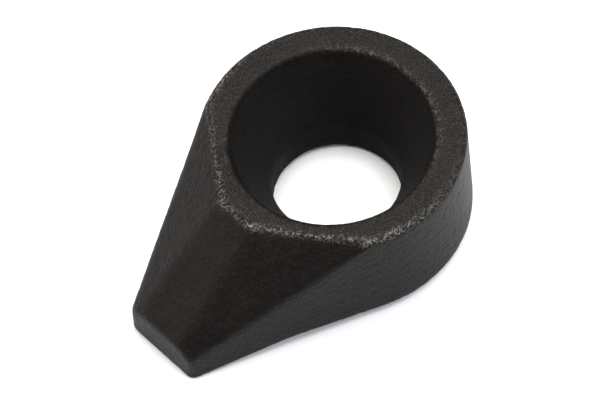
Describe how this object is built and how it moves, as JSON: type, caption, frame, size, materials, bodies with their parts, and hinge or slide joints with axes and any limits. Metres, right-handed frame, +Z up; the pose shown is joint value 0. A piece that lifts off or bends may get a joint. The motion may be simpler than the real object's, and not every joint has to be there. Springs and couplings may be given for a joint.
{
  "type": "clamping finger",
  "caption": "Teardrop cast clamping finger with a round boss, a conical screw seat and a tapered nose with sloping facets.",
  "frame": {"origin": "on the screw's axis, level with the flat underside of the boss", "axes": "+X from the screw towards the nose, +Z up the screw's axis, out of the conical seat"},
  "size_m": [0.0203, 0.0146, 0.0071],
  "materials": {
    "black_oxide_casting": "black-oxide cast skin, grainy, with worn edges"
  },
  "bodies": {
    "root": {"clamp_body": "black_oxide_casting"}
  },
  "joints": []
}
